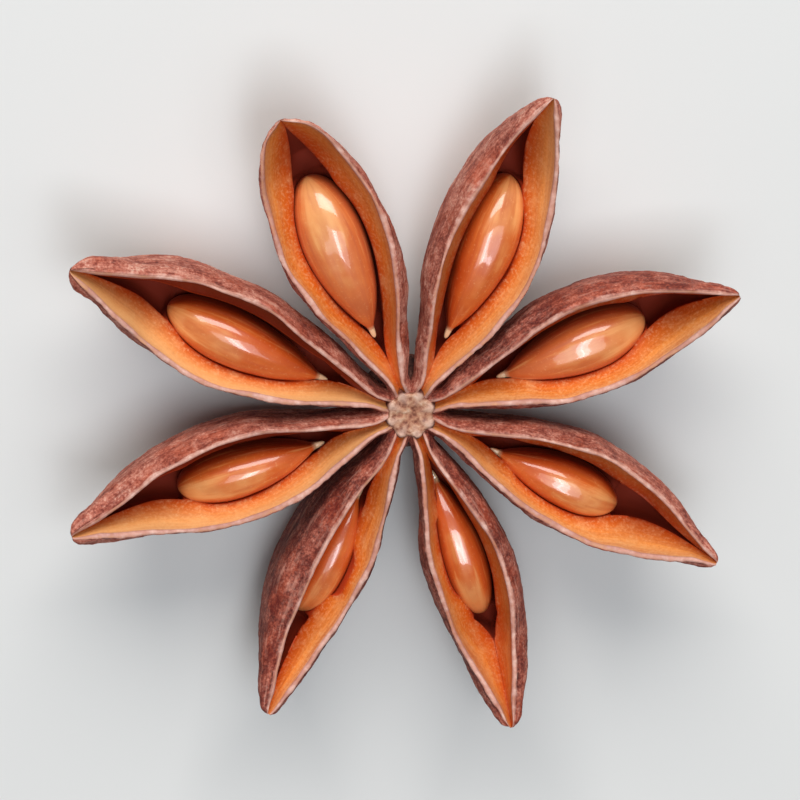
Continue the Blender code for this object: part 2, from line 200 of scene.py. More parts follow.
SCAR_HOLLOW, SCAR_EDGE, STALK_EDGE = 0.12 * MM, 0.10 * MM, 0.2 * MM  # of the stalk's scar and stump
LOBE_WIDE = math.radians(11)  # of the scallop that each carpel makes in the column
LOBE_OUT, LOBE_BETWEEN, LOBE_UP = 0.16, 0.12, 0.07 * MM
LOBE_FULL = 1.6  # how much sooner than at the edge of the disc the scallops stand at their full height
DISC_RISE = 1.0 * MM  # height over which the scallops grow above the waist
TOP_FROM, TOP_RUN, TOP_SINK = 0.3 * MM, 0.15 * MM, 0.05 * MM
DISC_OVER, DISC_FADE = 1.02, 0.15 * MM  # reach of the disc's colour, and width of its edge
AXIS_GAP = 0.02 * MM
COLUMN_GRAIN, COLUMN_GRAIN_SIZE = 0.035 * MM, 0.35 * MM
COLUMN_LUMP, COLUMN_LUMP_SIZE = 0.05 * MM, 1.1 * MM

# Relief of the husk: size and height of its features. Each DRAWN multiplies the place in the noise along,
# across and up a carpel, where below 1 draws the features out.
LUMP_SIZE, LUMP_DRAWN = 2.0 * MM, (0.6, 1, 1)
WRINKLE_SIZE, WRINKLE_DRAWN = 0.95 * MM, (0.55, 1, 0.8)
GRAIN_SIZE = 0.30 * MM
SKIN_LUMP, SKIN_WRINKLE, SKIN_GRAIN = 0.09 * MM, 0.055 * MM, 0.018 * MM
LIP_LUMP, LIP_GRAIN, LINING_LUMP = 0.010 * MM, 0.012 * MM, 0.018 * MM
ROUGH_FROM, ROUGH_RUN, ROOT_ROUGH = 1.5 * MM, 2.0 * MM, 0.35  # the skin is smoother at the root
TONE_LUMP, TONE_WRINKLE = 0.5, 0.6  # how much of them the skin's tone goes by

# How the carpels differ in tone, in the same order. skin, lining and seed are paler above 0 and darker below
# it, where the lining's and the seed's paleness is partly painted light on a lit band and painted sheen on a
# seed. The last is how much painted shade darkens the lining of the carpel's northern wall.
Tone = namedtuple("Tone", "skin lining seed gloom")
TONES = (
    Tone(-0.05, 0.05, 0.08, 0.60),
    Tone(0.13, 0.20, 0.0, 0.40),
    Tone(0.13, -0.10, 0.10, 0.10),
    Tone(0.11, 0.62, -0.05, 1.0),
    Tone(0.10, 0.45, 0.0, 1.0),
    Tone(-0.08, -0.05, -0.10, 0.0),
    Tone(0.0, -0.25, -0.15, 0.10),
    Tone(0.06, 0.18, 0.0, 0.50),
)
MOUTH_DEEP = 0.88  # the value of deep at the valley's bottom where no pocket opens, and 1 where one does
BEYOND_FROM, BEYOND_RUN = 0.2 * MM, 1.2 * MM  # where the painted shade in the beak's valley starts beyond the seed, and how soon it is full


# ---------------------------------------------------------------- form of a carpel, as in the part
def smooth(x):
    """0 to 1 with level ends."""
    x = np.clip(x, 0.0, 1.0)
    return x * x * (3 - 2 * x)


def lesser(a, b):
    """The smaller of two lengths, with a soft change from one to the other."""
    return (a + b - np.hypot(a - b, RIM_SOFT)) / 2


def lip_share(carpel, t):
    """How far the lips stand apart at shares t of the length, as shares of the gape."""
    rise = np.sin(math.pi / 2 * np.minimum(t / carpel.peak, 1) ** LIP_SWELL) ** LIP_EASE
    beyond = np.clip((t - carpel.peak) / (1 - carpel.peak), 0, 1)
    return np.where(t < carpel.peak, rise, np.cos(math.pi / 2 * beyond).clip(0) ** carpel.taper)


def wall_share(t):
    """Width of the outer walls as shares of the greatest."""
    rise = np.sin(math.pi / 2 * np.minimum(t / WALL_PEAK, 1) ** WALL_SWELL)
    beyond = np.clip((t - WALL_PEAK) / (1 - WALL_PEAK), 0, 1)
    return np.where(t < WALL_PEAK, rise, np.cos(math.pi / 2 * beyond**WALL_CLOSE).clip(0))


def depth_share(t):
    """Depth of the keel below the lips as shares of the greatest: a shoulder, then a beak."""
    rise = np.sin(math.pi / 2 * np.minimum(t / KEEL_PEAK, 1) ** KEEL_SWELL)
    beyond = np.clip((t - KEEL_PEAK) / (1 - KEEL_PEAK), 0, 1)
    fall = np.cos(math.pi / 2 * beyond**KEEL_CLOSE).clip(0) ** SHOULDER_EASE
    return np.where(
        t < KEEL_PEAK,
        ROOT_SHARE + (1 - ROOT_SHARE) * rise,
        BEAK_DEPTH_SHARE + (1 - BEAK_DEPTH_SHARE) * fall,
    )


def beak_round(t):
    """Size left as the beak rounds off, as shares of what it would be."""
    left = np.clip((1 - t) / BEAK_END, 0, 1)
    return np.sqrt(np.maximum(1 - (1 - left) ** 2, BEAK_BLUNT**2))


def place(carpel, out, side, up):
    """Points that lie out along a carpel, side to its left and up from its lips, as an array of x, y, z."""
    t = out / (carpel.length * MM)
    roll = math.radians(carpel.roll)
    crest = carpel.depth * MM * math.cos(roll) - KEEL_FLAT
    lean = roll * smooth(t / ROLL_DONE)
    y = side * np.cos(lean) - up * np.sin(lean) + carpel.bow * MM * np.sin(math.pi * t)
    z = side * np.sin(lean) + up * np.cos(lean)
    z = z + COLUMN_TOP + (crest - COLUMN_TOP) * smooth(t / ROLL_DONE)
    z = z + TIP_RISE * smooth((t - TIP_RISE_FROM) / (1 - TIP_RISE_FROM))
    turn = math.radians(carpel.azimuth)
    x_out, y_out = math.cos(turn), math.sin(turn)
    return np.stack((out * x_out - y * y_out, out * y_out + y * x_out, z), axis=-1)


def outer_width(half_lip, half_wall, h):
    """Half-width of the outside at a share h of the depth."""
    wall = half_wall * np.maximum(1 - h * h, 0.0) ** KEEL_BLUNT
    return wall - (half_wall - half_lip) * np.clip(1 - h / LIP_TURN, 0, 1) ** 2


def body_size(carpel, t):
    """Half-widths at the lips and at the walls, and depth, at shares t of the length."""
    root = ROOT_LIP * (1 - t)
    end = beak_round(t)
    half_lip = np.maximum(carpel.gape / 2 * MM * lip_share(carpel, t), SLIT + root)
    half_lip = np.hypot(half_lip, BEAK_LIP * smooth(t)) * end
    half_wall = np.hypot(carpel.wall / 2 * wall_share(t), carpel.beak * smooth(t)) * MM * end
    return half_lip, np.maximum(half_wall, half_lip + root), carpel.depth * MM * depth_share(t) * end


def seed_share(s, taper):
    """Girth of a seed at shares s of its length, as shares of the greatest."""
    q = np.clip(s, 0, 1) ** taper
    return (4 * q * (1 - q)) ** SEED_BLUNT


def seed_middle(carpel):
    """Depth of the solid seed's axis below the lips."""
    return SEED_TOP + SEED_SINK * (FULL_GAPE - carpel.gape * MM) + SEED_TALL / 2


def chamber_ends(carpel):
    return carpel.seed_in * MM - SEED_CLEAR, carpel.seed_out * MM + SEED_CLEAR


def chamber_floor(carpel, out):
    """Depth of the floor of the solid's chamber at distances out along the carpel, and 0 past its ends."""
    start, end = chamber_ends(carpel)
    girth = seed_share((out - start) / (end - start), SEED_TAPER)
    return np.where(girth > 0, seed_middle(carpel) + (SEED_TALL / 2 + SEED_CLEAR) * girth, 0.0)


# ---------------------------------------------------------------- form of the looks' own seed and hollow
def seed_ends(carpel):
    return carpel.seed_in * MM - SEED_PLUMP, carpel.seed_out * MM + SEED_PLUMP


def seed_girth(carpel, out):
    """Half-width and half-height of the seed at distances out along the carpel."""
    start, end = seed_ends(carpel)
    girth = seed_share((out - start) / (end - start), SEED_SLANT)
    return (carpel.seed_wide / 2 * MM + SEED_PLUMP) * girth, (SEED_TALL / 2 + SEED_PLUMP) * girth**SEED_ENDS


def seed_axis(carpel, out):
    """Depth of the seed's axis, which dips outwards."""
    return seed_middle(carpel) + SEED_TILT * (out - (carpel.seed_in + carpel.seed_out) / 2 * MM)


def seed_width(carpel, out, down):
    """Half-width of the seed at a depth down below the lips."""
    half, tall = seed_girth(carpel, out)
    level = np.clip(np.abs(seed_axis(carpel, out) - down) / np.maximum(tall, 1e-9), 0, 1)
    return half * (1 - level**SEED_FLAT) ** (1 / SEED_FLAT)


def hollow_open(carpel, out):
    """How wide open the hollow at the seed's two ends is: 1 beside the seed, 0 where it has closed."""
    seed_in, seed_out = carpel.seed_in * MM, carpel.seed_out * MM
    reach = carpel.hollow * (carpel.length * MM - seed_out)
    return np.clip(np.minimum((out - seed_in) / HOLLOW_IN, (seed_out - out) / reach) + 1, 0, 1)


# ---------------------------------------------------------------- meshes
def noise_at(points, size, octaves, seed):
    """Fractal noise of about -1 to 1 at an array of points, with features about size wide."""
    offset = Vector((seed * 17.3, seed * -9.1, seed * 5.7))
    flat = (points / size).reshape(-1, 3)
    values = [noise.fractal(Vector(p) + offset, 1.0, 2.0, octaves) for p in flat]
    return np.array(values).reshape(points.shape[:-1])


def mesh_object(name, points, faces, material, attributes):
    """An object in the scene, with an attribute of numbers at its points for each of those given."""
    data = bpy.data.meshes.new(name)
    data.from_pydata(points.tolist(), [], faces)
    for key, values in attributes.items():
        layer = data.attributes.new(key, "FLOAT", "POINT")
        layer.data.foreach_set("value", np.asarray(values, np.float32).ravel())
    data.materials.append(material)
    data.shade_smooth()
    thing = bpy.data.objects.new(name, data)
    bpy.context.scene.collection.objects.link(thing)
    return thing


def grid_faces(rows, columns):
    """Quads over rows of points whose columns close into rings."""
    i = np.arange(rows - 1)[:, None] * columns
    j = np.arange(columns)[None, :]
    k = (j + 1) % columns
    corners = np.broadcast_arrays(i + j, i + k, i + columns + k, i + columns + j)
    return np.stack(corners, -1).reshape(-1, 4)


def closed_tube(name, points, material, attributes):
    """A skin over rows of points that close into rings, with a fan over each end."""
    rows, columns = points.shape[:2]
    faces = grid_faces(rows, columns).tolist()
    first, last = rows * columns, rows * columns + 1
    for j in range(columns):
        k = (j + 1) % columns
        faces.append((first, k, j))
        faces.append((last, (rows - 1) * columns + j, (rows - 1) * columns + k))
    ends = np.stack((points[0].mean(axis=0), points[-1].mean(axis=0)))
    spread = {}
    for key, values in attributes.items():
        values = np.broadcast_to(values, (rows, columns))
        spread[key] = np.append(values.ravel(), (values[0].mean(), values[-1].mean()))
    return mesh_object(name, np.vstack((points.reshape(-1, 3), ends)), faces, material, spread)


def surface_normals(points):
    """Unit normals over a grid of points whose columns close into rings."""
    along = np.gradient(points, axis=0)
    around = np.roll(points, -1, axis=1) - np.roll(points, 1, axis=1)
    normals = np.cross(around, along)
    return normals / np.maximum(np.linalg.norm(normals, axis=-1, keepdims=True), 1e-12)


def dress(piece, node):
    """Hands a piece of the looks to the frame in place of a solid."""
    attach(piece, "root")
    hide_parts(node)


# ---------------------------------------------------------------- carpels
# Half of a carpel's sections, as arrays over the distances out. hand is 1 on the left and -1 on the right,
# lips and walls are half-widths, lip is the torn edge's thickness, fall half of that, and crest its rise.
Half = namedtuple("Half", "out hand lips walls depth lip fall crest")

# Where the seed's pocket is sunk in the valley. power is that of the valley's section, cut the angle in it
# at which the mouth lies, mouth and rim the mouth's half-width and depth, is_open how far open the hollow
# is, beside how much the seed counts there, and shift how far it lies towards this side.
Pocket = namedtuple("Pocket", "valley power cut mouth rim floor is_open beside shift")

# One line of points along a carpel, and what its colours go by. skin is 1 outside, lip is 1 on the torn
# edge, and deep runs from -1 at the keel over 0 at the lip and 1 at the pocket's mouth to 2 at its floor.
Line = namedtuple("Line", "side up skin lip deep")


def stations(carpel):
    """Distances out at which a carpel's sections are taken."""
    start, end = chamber_ends(carpel)
    neck = np.linspace(0, 1, NECK_SECTIONS, endpoint=False)
    chamber = 0.5 - 0.5 * np.cos(np.linspace(0, math.pi, CHAMBER_SECTIONS, endpoint=False))
    beak = 1 - (1 - np.linspace(0, 1, BEAK_SECTIONS)) ** BEAK_CROWD
    return np.concatenate((
        ROOT_OUT + (start - ROOT_OUT) * neck,
        start + (end - start) * chamber,
        end + (carpel.length * MM - end) * beak,
    ))


def half_outline(number, carpel, out, hand):
    """One side of a carpel's wavy outline, on which the rest of its sections is built."""

    def wave(kind):
        height, length, step = kind
        seed = 10 * number + step * hand
        values = [noise.noise(Vector((x / length, seed * 3.7, seed * -1.9))) for x in out]
        return height * 2 * np.array(values)

    t = out / (carpel.length * MM)
    lips, walls, depth = body_size(carpel, t)
    free = smooth(t / WAVES_IN) * smooth((1 - t) / WAVES_OUT)
    lips = lips + free * wave(LIP_WAVE)
    walls = walls + free * wave(WALL_WAVE)
    lip = np.minimum(LIP * (LIP_USUAL + wave(THICKNESS_WAVE)), LIP_MOST * lips)
    crest = free * (wave(CREST_WAVE) + wave(CREST_TEAR))
    crest = crest - CREST_SINK * smooth((SINK_FROM - out) / SINK_RUN)
    return Half(out, hand, lips, walls, depth, lip, lip / 2, crest)


def valley_depth(carpel, half):
    """Depth of the smooth valley between the lips: even beside the seed, less where the lips close."""
    start, end = chamber_ends(carpel)
    by_seed = smooth((half.out - start + VALLEY_IN) / VALLEY_CHANGE)
    by_seed = by_seed * smooth((end + VALLEY_OUT - half.out) / VALLEY_CHANGE)
    deepest = VALLEY_SHARE * half.depth
    narrow = np.minimum(deepest, VALLEY_STEEP * half.lips + VALLEY_LEAST)
    return by_seed * np.minimum(VALLEY_DEPTH, deepest) + (1 - by_seed) * narrow


def sink_pocket(carpel, half):
    """The seed's pocket, which is sunk in the valley and runs on as a hollow until that closes."""
    out = half.out
    valley = valley_depth(carpel, half)
    is_open = hollow_open(carpel, out)
    beside = np.clip(seed_girth(carpel, out)[0] / BESIDE, 0, 1)
    shift = half.hand * carpel.seed_side * MM * beside
    power = VALLEY_ROUND + VALLEY_SQUARER * smooth((-half.hand * carpel.seed_side - LEANS) / LEANS_SOFT)
    between = half.lips - half.lip
    hollow = HOLLOW_SHARE * between * is_open
    axis = seed_axis(carpel, out)
    rim = FIRST_RIM * valley
    for _ in range(RIM_ROUNDS):  # the mouth's width depends on its depth, and its depth on its width
        hug = seed_width(carpel, out, np.minimum(rim, axis)) + RIM_CLEAR * beside
        hug = hug + np.maximum(shift, LEE * shift)
        wanted = (hug + hollow + np.hypot(hug - hollow, HOLLOW_SOFT * is_open)) / 2
        room = outer_width(half.lips, half.walls, rim / half.depth) - WALL
        mouth = lesser(np.minimum(wanted, room), MOUTH_MOST * between)
        mouth = np.maximum(mouth * smooth(is_open / MOUTH_BY), FURROW)
        cut = np.arccos(np.clip(mouth / between, 0, 1) ** (power / 2))
        rim = half.fall + (valley - half.fall) * np.sin(cut) ** (2 / power)
    floor = np.minimum(rim + HOLLOW_SINK * smooth(is_open / SINK_BY), half.depth - 2 * WALL)
    under_seed = chamber_floor(carpel, out) + np.maximum(axis - seed_middle(carpel), 0)
    under_seed = np.minimum(under_seed, half.depth - WALL)
    floor = np.maximum(np.maximum(floor, under_seed), rim + FURROW)
    return Pocket(valley, power, cut, mouth, rim, floor, is_open, beside, shift)


def outside_lines(half):
    """From beside the keel up the flank and over the torn lip."""
    lines = []
    for angle in np.linspace(math.pi / 2, 0, FLANK_POINTS + 1)[1:]:
        h = math.sin(angle)
        side = outer_width(half.lips, half.walls, h)
        down = half.fall + h * (half.depth - half.fall)
        edge = np.clip(1 - (down - half.fall) / EDGE_REACH, 0, 1)
        lines.append(Line(side, half.crest * max(1 - h / CREST_FADE, 0) ** 2 - down, 1.0, edge, -h))
    for i in range(1, LIP_POINTS + 1):
        share = i / LIP_POINTS
        side = half.lips - half.fall + half.fall * math.cos(math.pi * share)
        up = half.crest - half.fall + half.fall * math.sin(math.pi * share)
        lines.append(Line(side, up, max(1 - SKIN_FADE * share, 0.0), 1.0, 0.0))
    return lines


def inside_lines(carpel, half, pocket):
    """From the lip down the smooth valley to the pocket's mouth, and down its wall to beside its floor."""
    in_pocket = smooth(pocket.is_open / COLOUR_BY)
    lines = []
    for i in range(1, VALLEY_POINTS + 1):
        s = i / VALLEY_POINTS
        side = (half.lips - half.lip) * np.cos(pocket.cut * s) ** (2 / pocket.power)
        down = half.fall + (pocket.valley - half.fall) * np.sin(pocket.cut * s) ** (2 / pocket.power)
        deep = s * (MOUTH_DEEP + (1 - MOUTH_DEEP) * in_pocket)
        lines.append(Line(side, half.crest * (1 - s) ** 2 - down, 0.0, max(1 - s * EDGE_FADE, 0.0), deep))
    for i in range(1, POCKET_POINTS + 1):
        share = 1 - math.cos(math.pi / 2 * i / (POCKET_POINTS + 1))
        down = pocket.rim + (pocket.floor - pocket.rim) * share
        room = outer_width(half.lips, half.walls, down / half.depth) - WALL
        snug = seed_width(carpel, half.out, down) + SNUG_CLEAR + pocket.shift
        straight = pocket.mouth * math.sqrt(1 - share**2)
        under = pocket.mouth + UNDERCUT * (1 - pocket.beside) * pocket.is_open
        under = under * math.sqrt(1 - share**CHAMBER_BLUNT)
        blend = smooth(share / UNDERCUT_FROM) * smooth(pocket.is_open / UNDERCUT_BY)
        side = straight * (1 - blend) + np.minimum(np.maximum(snug, under), room) * blend
        lines.append(Line(side, -down, 0.0, 0.0, MOUTH_DEEP + (1 - MOUTH_DEEP + share) * in_pocket))
    return lines


def husk_relief(number, points, skin, lip, deep):
    """Height of the relief, and the lumps and wrinkles in it, at points given as out, side and up."""
    lumps = noise_at(points * LUMP_DRAWN, LUMP_SIZE, 2, number)
    wrinkles = 1 - 2 * np.abs(noise_at(points * WRINKLE_DRAWN, WRINKLE_SIZE, 3, number + 20))
    grain = noise_at(points, GRAIN_SIZE, 2, number + 40)
    rough = skin * (ROOT_ROUGH + (1 - ROOT_ROUGH) * smooth((points[..., 0] - ROUGH_FROM) / ROUGH_RUN))
    lining = np.clip(deep, 0, 1) * (1 - np.clip(deep - 1, 0, 1))
    height = rough * (SKIN_LUMP * lumps + SKIN_WRINKLE * wrinkles + SKIN_GRAIN * grain)
    height = height + lip * (LIP_GRAIN * grain + LIP_LUMP * lumps) + lining * LINING_LUMP * lumps
    return height, TONE_LUMP * lumps + TONE_WRINKLE * wrinkles


def carpel_piece(number, carpel, tone, shift, material):
    """One carpel, from its root in the column to its beak, with its pocket."""
    out = stations(carpel)
    left, right = (half_outline(number, carpel, out, hand) for hand in (1, -1))
    left_pocket = sink_pocket(carpel, left)
    left_lines = outside_lines(left) + inside_lines(carpel, left, left_pocket)
    right_lines = outside_lines(right) + inside_lines(carpel, right, sink_pocket(carpel, right))
    keel = Line(0.0, -left.depth, 1.0, 0.0, -1.0)
    bottom = Line(0.0, -left_pocket.floor, 0.0, 0.0, 2.0)
    mirrored = [line._replace(side=-line.side) for line in reversed(right_lines)]
    ring = [keel] + left_lines + [bottom] + mirrored
    side, up, skin, lip, deep = (
        np.stack([np.broadcast_to(values, out.shape) for values in parts], axis=1)
        for parts in zip(*ring)
    )
    outs = np.broadcast_to(out[:, None], side.shape)
    points = place(carpel, outs, side, up)
    height, relief = husk_relief(number, np.stack((outs, side, up), axis=-1), skin, lip, deep)
    points = points + surface_normals(points) * height[..., None]
    points[..., 2] = np.maximum(points[..., 2], 0)  # what rests on the table stays on it

    on_left = np.arange(side.shape[1]) <= len(left_lines)
    northern = on_left == (math.cos(math.radians(carpel.azimuth)) > 0)
    beyond = smooth((out - carpel.seed_out * MM - BEYOND_FROM) / BEYOND_RUN)
    # The lining of the northern wall gets painted shade, and so does the beak's valley beyond the seed.
    attributes = {
        "skin": skin,
        "lip": lip,
        "deep": deep,
        "along": (out / (carpel.length * MM))[:, None],
        "beak": beyond[:, None],
        "relief": relief,
        "painted_north_shade": np.where(northern, tone.gloom, 0.0)[None, :],
        "tint": noise.noise(Vector((number * 1.7, 0.3, 0.8))),
        "skin_tone": tone.skin,
        "tone_and_painted_light": tone.lining,
    }
    dress(closed_tube(f"carpel_{number}", points + shift, material, attributes), "pod")


# ---------------------------------------------------------------- column
def column_piece(shift, material):
    """The middle: a pale scalloped disc, the waist and the receptacle below, and the scar of the stalk."""
    narrow = RECEPTACLE_R * RECEPTACLE_NARROW
    corners = [
        # the hollow scar of the stalk, the edge of its stump, and up the stump
        (0.0, STALK_Z + SCAR_HOLLOW), (0.55 * STALK_R, STALK_Z + SCAR_EDGE), (0.72 * STALK_R, STALK_Z),
        (0.96 * STALK_R, STALK_Z), (STALK_R, STALK_Z + SCAR_EDGE), (STALK_R, STALK_TOP - STALK_EDGE),
        # the receptacle, and the waist above it
        (1.15 * STALK_R, STALK_TOP), (narrow, RECEPTACLE_Z - RECEPTACLE_TURN), (RECEPTACLE_R, RECEPTACLE_Z),
        (narrow, RECEPTACLE_Z + RECEPTACLE_TURN), (1.05 * COLUMN_R, COLUMN_FOOT),
        # the bevelled edge of the disc, and its dished top
        (COLUMN_R, COLUMN_TOP - COLUMN_EDGE),
        (COLUMN_R - 0.3 * COLUMN_EDGE, COLUMN_TOP - 0.3 * COLUMN_EDGE),
        (COLUMN_R - COLUMN_EDGE, COLUMN_TOP),
        (0.55 * COLUMN_R, COLUMN_TOP - 0.4 * COLUMN_DISH),
        (0.0, COLUMN_TOP - COLUMN_DISH),
    ]
    profile = []
    for (r0, z0), (r1, z1) in zip(corners, corners[1:]):
        steps = max(int(math.hypot(r1 - r0, z1 - z0) / COLUMN_STEP), 1)
        profile += [(r0 + (r1 - r0) * i / steps, z0 + (z1 - z0) * i / steps) for i in range(steps)]
    profile = np.array(profile[1:] + [(AXIS_GAP, corners[-1][1])])  # its ends stay just off the axis
    angle = np.linspace(0, 2 * math.pi, COLUMN_SIDES, endpoint=False)
    lobes = np.zeros_like(angle)
    for carpel in CARPELS:
        away = np.angle(np.exp(1j * (angle - math.radians(carpel.azimuth))))
        lobes += np.exp(-(away / LOBE_WIDE) ** 2)
    r = np.repeat(profile[:, :1], COLUMN_SIDES, axis=1)
    z = np.repeat(profile[:, 1:], COLUMN_SIDES, axis=1)
    high = smooth((z - COLUMN_FOOT) / DISC_RISE)
    r = r * (1 + high * (LOBE_OUT * lobes - LOBE_BETWEEN))
    on_top = smooth((z - COLUMN_TOP + TOP_FROM) / TOP_RUN)
    reach = r / COLUMN_R
    z = z + on_top * (LOBE_UP * lobes * smooth(reach * LOBE_FULL) - TOP_SINK)
    points = np.stack((r * np.cos(angle), r * np.sin(angle), z), axis=-1)
    grain = noise_at(points, COLUMN_GRAIN_SIZE, 3, 71)
    lumps = noise_at(points, COLUMN_LUMP_SIZE, 2, 72)
    height = COLUMN_GRAIN * grain + COLUMN_LUMP * lumps
    points = points + surface_normals(points) * height[..., None]
    disc = high * smooth((COLUMN_R * DISC_OVER - r) / DISC_FADE)
    attributes = {"disc": disc, "relief": grain, "lobe": on_top * lobes, "reach": reach}
    dress(closed_tube("column", points + shift, material, attributes), "pod")


# ---------------------------------------------------------------- seeds
def seed_piece(number, carpel, tone, shift, material):
    """A seed, with the stub by which it hangs."""
    start, end = seed_ends(carpel)
    rings = (SEED_END_GAP + np.arange(SEED_RINGS)) / (SEED_RINGS - 1 + 2 * SEED_END_GAP)
    share = 0.5 - 0.5 * np.cos(math.pi * rings)
    stub = np.linspace(-NUB_LENGTH / (end - start), share[0], NUB_RINGS, endpoint=False)
    share = np.concatenate((stub, share))
    out = (start + (end - start) * share)[:, None]
    back = np.clip((start - out) / NUB_LENGTH, 0, 1)
    nub = NUB_R * smooth((start + NUB_LENGTH - out) / NUB_LENGTH)
    nub = nub * np.sqrt(1 - NUB_CLOSE * back**4) * (1 - NUB_TAPER * back)
    half, tall = (np.hypot(size, nub) for size in seed_girth(carpel, out))

    turn = np.linspace(0, 2 * math.pi, SEED_SIDES, endpoint=False)[None, :]
    across, crown = np.cos(turn), np.sin(turn)
    square = (np.abs(across) ** SEED_FLAT + np.abs(crown) ** SEED_FLAT) ** (-1 / SEED_FLAT)
    ridge = RIDGE * np.sin(math.pi * np.maximum(share, 0))[:, None]
    ridge = ridge * np.exp(-(((turn - RIDGE_AT) / RIDGE_WIDE) ** 2))
    side = carpel.seed_side * MM + half * square * across
    up = (tall * square + ridge) * crown - seed_axis(carpel, out)
    points = place(carpel, np.broadcast_to(out, side.shape), side, up)
    dents = DENT * noise_at(points, DENT_SIZE, 2, number + 90)
    points = points + surface_normals(points) * dents[..., None] + shift
    attributes = {
        "crown": crown,
        "tone_and_painted_light": tone.seed,
        "along": share[:, None],
        "tint": noise.noise(Vector((number * 2.3, 1.3, 4.8))),
    }
    dress(closed_tube(f"polished_seed_{number}", points, material, attributes), f"seed_{number}")


# ---------------------------------------------------------------- materials
def srgb(red, green, blue):
    """A colour given as 0 to 255, as Blender's linear values."""
    values = [c / 255 for c in (red, green, blue)]
    return tuple(c / 12.92 if c <= 0.04045 else ((c + 0.055) / 1.055) ** 2.4 for c in values) + (1.0,)


class Graph:
    """Adds nodes to a material and joins them up."""

    def __init__(self, name):
        self.material = bpy.data.materials.new(name)
        self.material.use_nodes = True
        self.tree = self.material.node_tree
        self.shader = self.tree.nodes["Principled BSDF"]
        self.place = self.add("ShaderNodeTexCoord").outputs["Object"]

    def set(self, socket, value):
        if isinstance(value, bpy.types.NodeSocket):
            self.tree.links.new(value, socket)
        else:
            socket.default_value = value

    def add(self, kind, **inputs):
        node = self.tree.nodes.new(kind)
        for key, value in inputs.items():
            self.set(node.inputs[key.replace("_", " ")], value)
        return node

    def attribute(self, name):
        node = self.add("ShaderNodeAttribute")
        node.attribute_name = name
        return node.outputs["Fac"]

    def math(self, operation, a, b):
        node = self.add("ShaderNodeMath")
        node.operation = operation
        self.set(node.inputs[0], a)
        self.set(node.inputs[1], b)
        return node.outputs[0]

    def plus(self, a, b):
        return self.math("ADD", a, b)

    def minus(self, a, b):
        return self.math("SUBTRACT", a, b)

    def times(self, a, b):
        return self.math("MULTIPLY", a, b)

    def clamp(self, value):
        value.node.use_clamp = True
        return value

    def range(self, value, low, high, to_low=0.0, to_high=1.0):
        node = self.add("ShaderNodeMapRange")
        for i, v in enumerate((value, low, high, to_low, to_high)):
            self.set(node.inputs[i], v)
        return node.outputs[0]

    def mix(self, share, a, b):
        node = self.add("ShaderNodeMix")
        node.data_type = "RGBA"  # whose colours are sockets 6, 7 and 2
        self.set(node.inputs[0], share)
        self.set(node.inputs[6], a)
        self.set(node.inputs[7], b)
        return node.outputs[2]

    def noise(self, size, detail=3.0, roughness=0.55, at=None):
        """Noise whose features are about size wide, in metres or in the units of the place at."""
        node = self.add("ShaderNodeTexNoise", Scale=1 / size, Detail=detail, Roughness=roughness)
        self.set(node.inputs["Vector"], at or self.place)
        return node.outputs["Fac"]

    def streaks(self, along, times_along, across, times_across, tint, roughness):
        """Noise in streaks that run lengthways, different for each tint."""
        along, across = self.times(along, times_along), self.times(across, times_across)
        at = self.add("ShaderNodeCombineXYZ", X=along, Y=across, Z=tint)
        return self.noise(1.0, 4.0, roughness, at.outputs[0])

    def ramp(self, value, *stops):
        """Colours at places from 0 to 1."""
        node = self.add("ShaderNodeValToRGB", Fac=value)
        bar = node.color_ramp
        while len(bar.elements) < len(stops):
            bar.elements.new(0.5)
        for element, (where, colour) in zip(bar.elements, stops):
            element.position, element.color = where, colour
        return node.outputs["Color"]

    def bump(self, height, distance, strength):
        node = self.add("ShaderNodeBump", Height=height, Distance=distance, Strength=strength)
        return node.outputs["Normal"]

    def finish(self, **inputs):
        for key, value in inputs.items():
            self.set(self.shader.inputs[key.replace("_", " ")], value)
        return self.material


def skin_colour(g, along, deep, tint, mottle, fine):
    """Mauve-brown, mottled, with rusty patches, a pale bloom and lengthwise fibres."""
    worn = g.plus(g.plus(g.times(g.attribute("relief"), 0.12), mottle), g.attribute("skin_tone"))
    worn = g.plus(worn, g.times(g.minus(fine, 0.5), 0.9))
    colour = g.ramp(
        worn,
        (0.22, srgb(80, 27, 22)),
        (0.42, srgb(122, 55, 44)),
        (0.56, srgb(158, 81, 64)),
        (0.72, srgb(192, 116, 96)),
        (0.92, srgb(220, 170, 150)),
    )
    rusty = g.range(g.noise(2.4 * MM), 0.50, 0.66, 0.0, 0.7)
    colour = g.mix(rusty, colour, g.ramp(worn, (0.3, srgb(104, 32, 20)), (0.8, srgb(184, 82, 52))))

    patch = g.range(g.noise(3.0 * MM, 3.0, 0.6), 0.54, 0.66, 0.0, 0.6)
    near_lip = g.range(deep, -0.40, -0.10)
    red = g.ramp(worn, (0.3, srgb(128, 38, 22)), (0.8, srgb(196, 88, 54)))
    colour = g.mix(g.times(patch, near_lip), colour, red)

    bloom = g.range(g.noise(0.24 * MM, 4.0, 0.7), 0.54, 0.70, 0.0, 0.35)
    colour = g.mix(g.times(bloom, g.range(mottle, 0.35, 0.6)), colour, srgb(214, 172, 156))

    fibres = g.streaks(along, 9.0, deep, 20.0, tint, 0.65)
    colour = g.mix(g.range(fibres, 0.47, 0.33, 0.0, 0.6), colour, srgb(96, 28, 22))
    return g.mix(g.range(fibres, 0.54, 0.70, 0.0, 0.45), colour, srgb(218, 160, 140))


def edge_colour(g, torn, rubbed):
    """The torn lip: pale pinkish, and browner where it is rubbed."""
    colour = g.ramp(
        torn,
        (0.28, srgb(192, 132, 115)),
        (0.50, srgb(208, 154, 137)),
        (0.74, srgb(226, 186, 170)),
    )
    browner = g.ramp(torn, (0.3, srgb(140, 78, 72)), (0.7, srgb(186, 128, 120)))
    return g.mix(g.range(rubbed, 0.56, 0.40, 0.0, 0.75), colour, browner)


